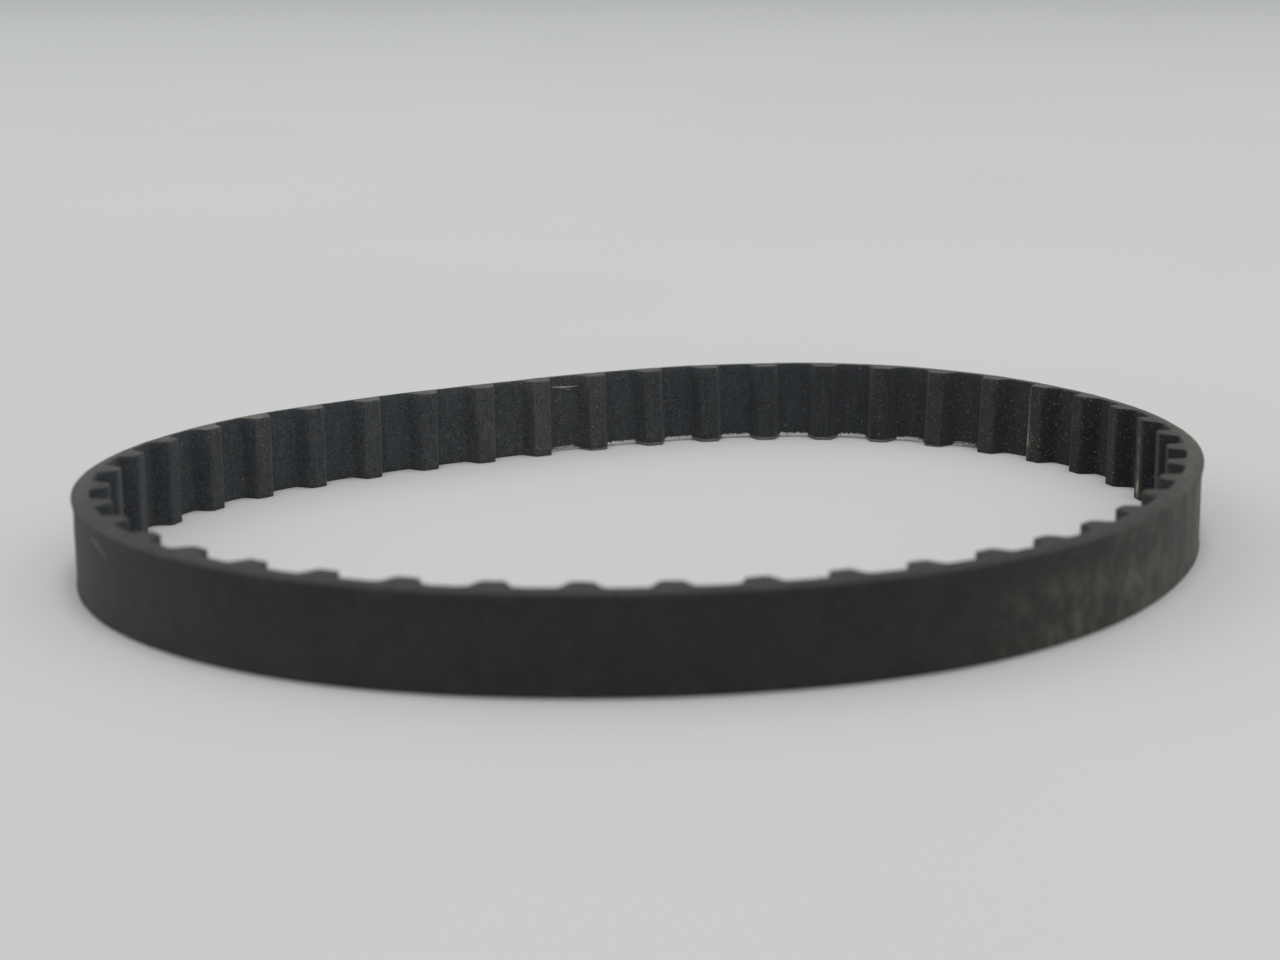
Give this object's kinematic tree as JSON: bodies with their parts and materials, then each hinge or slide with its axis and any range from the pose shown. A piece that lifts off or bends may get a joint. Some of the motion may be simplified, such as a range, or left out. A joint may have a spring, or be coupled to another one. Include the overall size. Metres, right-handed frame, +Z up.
{
  "type": "timing belt",
  "caption": "Endless rubber synchronous belt with trapezoidal teeth on the inside, cloth-faced, resting on its cut edge in a relaxed egg-shaped loop that flexes.",
  "frame": {"origin": "centre of the loop's outline on the plane that it rests on", "axes": "+Z up along the belt's width; the pulleys that the belt runs on have their shafts along Z"},
  "size_m": [0.0768, 0.0728, 0.0061],
  "materials": {
    "rubber": "matte, ground back, cut edges",
    "tooth_cloth": "matte woven nylon impregnated with rubber",
    "cord": "twisted glass-fibre cord"
  },
  "bodies": {
    "link_01": {"link_01": "rubber"},
    "link_02": {"link_02": "rubber"},
    "link_03": {"link_03": "rubber"},
    "link_04": {"link_04": "rubber"},
    "link_05": {"link_05": "rubber"},
    "link_06": {"link_06": "rubber"},
    "link_07": {"link_07": "rubber", "tensile_cord_s": "cord", "tensile_cord_z": "cord", "tooth_facing": "tooth_cloth"},
    "link_08": {"link_08": "rubber"},
    "link_09": {"link_09": "rubber"},
    "link_10": {"link_10": "rubber"},
    "link_11": {"link_11": "rubber"},
    "link_12": {"link_12": "rubber"},
    "link_13": {"link_13": "rubber"},
    "link_14": {"link_14": "rubber"},
    "link_15": {"link_15": "rubber"},
    "link_16": {"link_16": "rubber"},
    "link_17": {"link_17": "rubber"},
    "link_18": {"link_18": "rubber"},
    "link_19": {"link_19": "rubber"},
    "link_20": {"link_20": "rubber"},
    "link_21": {"link_21": "rubber"},
    "link_22": {"link_22": "rubber"},
    "link_23": {"link_23": "rubber"},
    "link_24": {"link_24": "rubber"},
    "link_25": {"link_25": "rubber"},
    "link_26": {"link_26": "rubber"},
    "link_27": {"link_27": "rubber"},
    "link_28": {"link_28": "rubber"},
    "link_29": {"link_29": "rubber"},
    "link_30": {"link_30": "rubber"},
    "link_31": {"link_31": "rubber"},
    "link_32": {"link_32": "rubber"},
    "link_33": {"link_33": "rubber"},
    "link_34": {"link_34": "rubber"},
    "link_35": {"link_35": "rubber"},
    "link_36": {"link_36": "rubber"},
    "link_37": {"link_37": "rubber"},
    "link_38": {"link_38": "rubber"},
    "link_39": {"link_39": "rubber"},
    "link_40": {"link_40": "rubber"},
    "link_41": {"link_41": "rubber"},
    "link_42": {"link_42": "rubber"},
    "link_43": {"link_43": "rubber"},
    "link_44": {"link_44": "rubber"},
    "link_45": {"link_45": "rubber"}
  },
  "joints": [
    {"name": "flex_07_08", "type": "hinge", "parent": "link_07", "child": "link_08", "pos_m": [-0.01189, 0.02743, 0.00305], "axis": [0, 0, 1], "range_deg": [-4, 7], "deforming": ["tensile_cord_s", "tensile_cord_z", "tooth_facing"]},
    {"name": "flex_08_09", "type": "hinge", "parent": "link_08", "child": "link_09", "pos_m": [-0.00748, 0.02994, 0.00305], "axis": [0, 0, 1], "range_deg": [-3.67, 6.41]},
    {"name": "flex_09_10", "type": "hinge", "parent": "link_09", "child": "link_10", "pos_m": [-0.00293, 0.0322, 0.00305], "axis": [0, 0, 1], "range_deg": [-3.03, 5.29]},
    {"name": "flex_10_11", "type": "hinge", "parent": "link_10", "child": "link_11", "pos_m": [0.00181, 0.03404, 0.00305], "axis": [0, 0, 1], "range_deg": [-2.22, 3.88]},
    {"name": "flex_11_12", "type": "hinge", "parent": "link_11", "child": "link_12", "pos_m": [0.00675, 0.03523, 0.00305], "axis": [0, 0, 1], "range_deg": [-1.34, 2.34]},
    {"name": "flex_12_13", "type": "hinge", "parent": "link_12", "child": "link_13", "pos_m": [0.01181, 0.03558, 0.00305], "axis": [0, 0, 1], "range_deg": [-0.43, 0.75]},
    {"name": "flex_13_14", "type": "hinge", "parent": "link_13", "child": "link_14", "pos_m": [0.01686, 0.03495, 0.00305], "axis": [0, 0, 1], "range_deg": [-0.96, 0.55]},
    {"name": "flex_14_15", "type": "hinge", "parent": "link_14", "child": "link_15", "pos_m": [0.02167, 0.03332, 0.00305], "axis": [0, 0, 1], "range_deg": [-2.72, 1.56]},
    {"name": "flex_15_16", "type": "hinge", "parent": "link_15", "child": "link_16", "pos_m": [0.02606, 0.03076, 0.00305], "axis": [0, 0, 1], "range_deg": [-4.47, 2.56]},
    {"name": "flex_16_17", "type": "hinge", "parent": "link_16", "child": "link_17", "pos_m": [0.02986, 0.0274, 0.00305], "axis": [0, 0, 1], "range_deg": [-5.98, 3.42]},
    {"name": "flex_17_18", "type": "hinge", "parent": "link_17", "child": "link_18", "pos_m": [0.03297, 0.02338, 0.00305], "axis": [0, 0, 1], "range_deg": [-6.96, 3.98]},
    {"name": "flex_18_19", "type": "hinge", "parent": "link_18", "child": "link_19", "pos_m": [0.03531, 0.01887, 0.00305], "axis": [0, 0, 1], "range_deg": [-7.23, 4.14]},
    {"name": "flex_19_20", "type": "hinge", "parent": "link_19", "child": "link_20", "pos_m": [0.03683, 0.01402, 0.00305], "axis": [0, 0, 1], "range_deg": [-6.79, 3.89]},
    {"name": "flex_20_21", "type": "hinge", "parent": "link_20", "child": "link_21", "pos_m": [0.03754, 0.00899, 0.00305], "axis": [0, 0, 1], "range_deg": [-5.82, 3.33]},
    {"name": "flex_21_22", "type": "hinge", "parent": "link_21", "child": "link_22", "pos_m": [0.03749, 0.00391, 0.00305], "axis": [0, 0, 1], "range_deg": [-4.56, 2.61]},
    {"name": "flex_22_23", "type": "hinge", "parent": "link_22", "child": "link_23", "pos_m": [0.03676, -0.00111, 0.00305], "axis": [0, 0, 1], "range_deg": [-3.18, 1.83]},
    {"name": "flex_23_24", "type": "hinge", "parent": "link_23", "child": "link_24", "pos_m": [0.03545, -0.00602, 0.00305], "axis": [0, 0, 1], "range_deg": [-1.7, 0.98]},
    {"name": "flex_07_06", "type": "hinge", "parent": "link_07", "child": "link_06", "pos_m": [-0.01622, 0.02478, 0.00305], "axis": [0, 0, 1], "range_deg": [-6.94, 3.97]},
    {"name": "flex_06_05", "type": "hinge", "parent": "link_06", "child": "link_05", "pos_m": [-0.02047, 0.02199, 0.00305], "axis": [0, 0, 1], "range_deg": [-6.21, 3.55]},
    {"name": "flex_05_04", "type": "hinge", "parent": "link_05", "child": "link_04", "pos_m": [-0.02457, 0.01898, 0.00305], "axis": [0, 0, 1], "range_deg": [-5, 2.86]},
    {"name": "flex_04_03", "type": "hinge", "parent": "link_04", "child": "link_03", "pos_m": [-0.02839, 0.01564, 0.00305], "axis": [0, 0, 1], "range_deg": [-3.57, 2.04]},
    {"name": "flex_03_02", "type": "hinge", "parent": "link_03", "child": "link_02", "pos_m": [-0.03177, 0.01185, 0.00305], "axis": [0, 0, 1], "range_deg": [-2.11, 1.21]},
    {"name": "flex_02_01", "type": "hinge", "parent": "link_02", "child": "link_01", "pos_m": [-0.03451, 0.00757, 0.00305], "axis": [0, 0, 1], "range_deg": [-0.68, 0.4]},
    {"name": "flex_01_45", "type": "hinge", "parent": "link_01", "child": "link_45", "pos_m": [-0.03643, 0.00287, 0.00305], "axis": [0, 0, 1], "range_deg": [-0.48, 0.82]},
    {"name": "flex_45_44", "type": "hinge", "parent": "link_45", "child": "link_44", "pos_m": [-0.03745, -0.00211, 0.00305], "axis": [0, 0, 1], "range_deg": [-1.39, 2.43]},
    {"name": "flex_44_43", "type": "hinge", "parent": "link_44", "child": "link_43", "pos_m": [-0.03753, -0.00719, 0.00305], "axis": [0, 0, 1], "range_deg": [-2.37, 4.13]},
    {"name": "flex_43_42", "type": "hinge", "parent": "link_43", "child": "link_42", "pos_m": [-0.03673, -0.01221, 0.00305], "axis": [0, 0, 1], "range_deg": [-3.28, 5.73]},
    {"name": "flex_42_41", "type": "hinge", "parent": "link_42", "child": "link_41", "pos_m": [-0.0351, -0.01702, 0.00305], "axis": [0, 0, 1], "range_deg": [-3.96, 6.92]},
    {"name": "flex_41_40", "type": "hinge", "parent": "link_41", "child": "link_40", "pos_m": [-0.0327, -0.02149, 0.00305], "axis": [0, 0, 1], "range_deg": [-4.26, 7.44]},
    {"name": "flex_40_39", "type": "hinge", "parent": "link_40", "child": "link_39", "pos_m": [-0.02957, -0.0255, 0.00305], "axis": [0, 0, 1], "range_deg": [-4.11, 7.18]},
    {"name": "flex_39_38", "type": "hinge", "parent": "link_39", "child": "link_38", "pos_m": [-0.02581, -0.02891, 0.00305], "axis": [0, 0, 1], "range_deg": [-3.57, 6.24]},
    {"name": "flex_38_37", "type": "hinge", "parent": "link_38", "child": "link_37", "pos_m": [-0.02152, -0.03162, 0.00305], "axis": [0, 0, 1], "range_deg": [-2.78, 4.85]},
    {"name": "flex_37_36", "type": "hinge", "parent": "link_37", "child": "link_36", "pos_m": [-0.01684, -0.03361, 0.00305], "axis": [0, 0, 1], "range_deg": [-1.85, 3.23]},
    {"name": "flex_36_35", "type": "hinge", "parent": "link_36", "child": "link_35", "pos_m": [-0.01192, -0.03488, 0.00305], "axis": [0, 0, 1], "range_deg": [-0.85, 1.47]},
    {"name": "flex_35_34", "type": "hinge", "parent": "link_35", "child": "link_34", "pos_m": [-0.00688, -0.0355, 0.00305], "axis": [0, 0, 1], "range_deg": [-0.45, 0.27]},
    {"name": "flex_34_33", "type": "hinge", "parent": "link_34", "child": "link_33", "pos_m": [-0.0018, -0.03553, 0.00305], "axis": [0, 0, 1], "range_deg": [-2.51, 1.44]},
    {"name": "flex_33_32", "type": "hinge", "parent": "link_33", "child": "link_32", "pos_m": [0.00326, -0.035, 0.00305], "axis": [0, 0, 1], "range_deg": [-4.65, 2.66]},
    {"name": "flex_32_31", "type": "hinge", "parent": "link_32", "child": "link_31", "pos_m": [0.00822, -0.03391, 0.00305], "axis": [0, 0, 1], "range_deg": [-6.59, 3.77]},
    {"name": "flex_31_30", "type": "hinge", "parent": "link_31", "child": "link_30", "pos_m": [0.01301, -0.03222, 0.00305], "axis": [0, 0, 1], "range_deg": [-7.95, 4.55]},
    {"name": "flex_30_29", "type": "hinge", "parent": "link_30", "child": "link_29", "pos_m": [0.01753, -0.02991, 0.00305], "axis": [0, 0, 1], "range_deg": [-8.38, 4.8]},
    {"name": "flex_29_28", "type": "hinge", "parent": "link_29", "child": "link_28", "pos_m": [0.02168, -0.02698, 0.00305], "axis": [0, 0, 1], "range_deg": [-7.75, 4.44]},
    {"name": "flex_28_27", "type": "hinge", "parent": "link_28", "child": "link_27", "pos_m": [0.02539, -0.02351, 0.00305], "axis": [0, 0, 1], "range_deg": [-6.21, 3.56]},
    {"name": "flex_27_26", "type": "hinge", "parent": "link_27", "child": "link_26", "pos_m": [0.02861, -0.01958, 0.00305], "axis": [0, 0, 1], "range_deg": [-4.15, 2.38]},
    {"name": "flex_26_25", "type": "hinge", "parent": "link_26", "child": "link_25", "pos_m": [0.03135, -0.01531, 0.00305], "axis": [0, 0, 1], "range_deg": [-1.98, 1.14]}
  ],
  "couplings": [
    {"joint": "flex_08_09", "follows": "flex_07_08", "ratio": 0.91423},
    {"joint": "flex_09_10", "follows": "flex_07_08", "ratio": 0.75398},
    {"joint": "flex_10_11", "follows": "flex_07_08", "ratio": 0.55157},
    {"joint": "flex_11_12", "follows": "flex_07_08", "ratio": 0.33224},
    {"joint": "flex_12_13", "follows": "flex_07_08", "ratio": 0.10466},
    {"joint": "flex_13_14", "follows": "flex_07_08", "ratio": -0.13465},
    {"joint": "flex_14_15", "follows": "flex_07_08", "ratio": -0.38682},
    {"joint": "flex_15_16", "follows": "flex_07_08", "ratio": -0.63691},
    {"joint": "flex_16_17", "follows": "flex_07_08", "ratio": -0.85172},
    {"joint": "flex_17_18", "follows": "flex_07_08", "ratio": -0.99183},
    {"joint": "flex_18_19", "follows": "flex_07_08", "ratio": -1.0306},
    {"joint": "flex_19_20", "follows": "flex_07_08", "ratio": -0.96812},
    {"joint": "flex_20_21", "follows": "flex_07_08", "ratio": -0.82953},
    {"joint": "flex_21_22", "follows": "flex_07_08", "ratio": -0.6497},
    {"joint": "flex_22_23", "follows": "flex_07_08", "ratio": -0.45276},
    {"joint": "flex_23_24", "follows": "flex_07_08", "ratio": -0.24091},
    {"joint": "flex_07_06", "follows": "flex_07_08", "ratio": -0.98939},
    {"joint": "flex_06_05", "follows": "flex_07_08", "ratio": -0.88451},
    {"joint": "flex_05_04", "follows": "flex_07_08", "ratio": -0.71162},
    {"joint": "flex_04_03", "follows": "flex_07_08", "ratio": -0.50733},
    {"joint": "flex_03_02", "follows": "flex_07_08", "ratio": -0.29948},
    {"joint": "flex_02_01", "follows": "flex_07_08", "ratio": -0.095275},
    {"joint": "flex_01_45", "follows": "flex_07_08", "ratio": 0.11554},
    {"joint": "flex_45_44", "follows": "flex_07_08", "ratio": 0.3447},
    {"joint": "flex_44_43", "follows": "flex_07_08", "ratio": 0.5876},
    {"joint": "flex_43_42", "follows": "flex_07_08", "ratio": 0.81591},
    {"joint": "flex_42_41", "follows": "flex_07_08", "ratio": 0.98636},
    {"joint": "flex_41_40", "follows": "flex_07_08", "ratio": 1.0606},
    {"joint": "flex_40_39", "follows": "flex_07_08", "ratio": 1.0238},
    {"joint": "flex_39_38", "follows": "flex_07_08", "ratio": 0.88986},
    {"joint": "flex_38_37", "follows": "flex_07_08", "ratio": 0.69119},
    {"joint": "flex_37_36", "follows": "flex_07_08", "ratio": 0.45889},
    {"joint": "flex_36_35", "follows": "flex_07_08", "ratio": 0.20802},
    {"joint": "flex_35_34", "follows": "flex_07_08", "ratio": -0.062781},
    {"joint": "flex_34_33", "follows": "flex_07_08", "ratio": -0.35705},
    {"joint": "flex_33_32", "follows": "flex_07_08", "ratio": -0.66197},
    {"joint": "flex_32_31", "follows": "flex_07_08", "ratio": -0.93918},
    {"joint": "flex_31_30", "follows": "flex_07_08", "ratio": -1.1333},
    {"joint": "flex_30_29", "follows": "flex_07_08", "ratio": -1.195},
    {"joint": "flex_29_28", "follows": "flex_07_08", "ratio": -1.105},
    {"joint": "flex_28_27", "follows": "flex_07_08", "ratio": -0.88559},
    {"joint": "flex_27_26", "follows": "flex_07_08", "ratio": -0.59059},
    {"joint": "flex_26_25", "follows": "flex_07_08", "ratio": -0.28119}
  ]
}
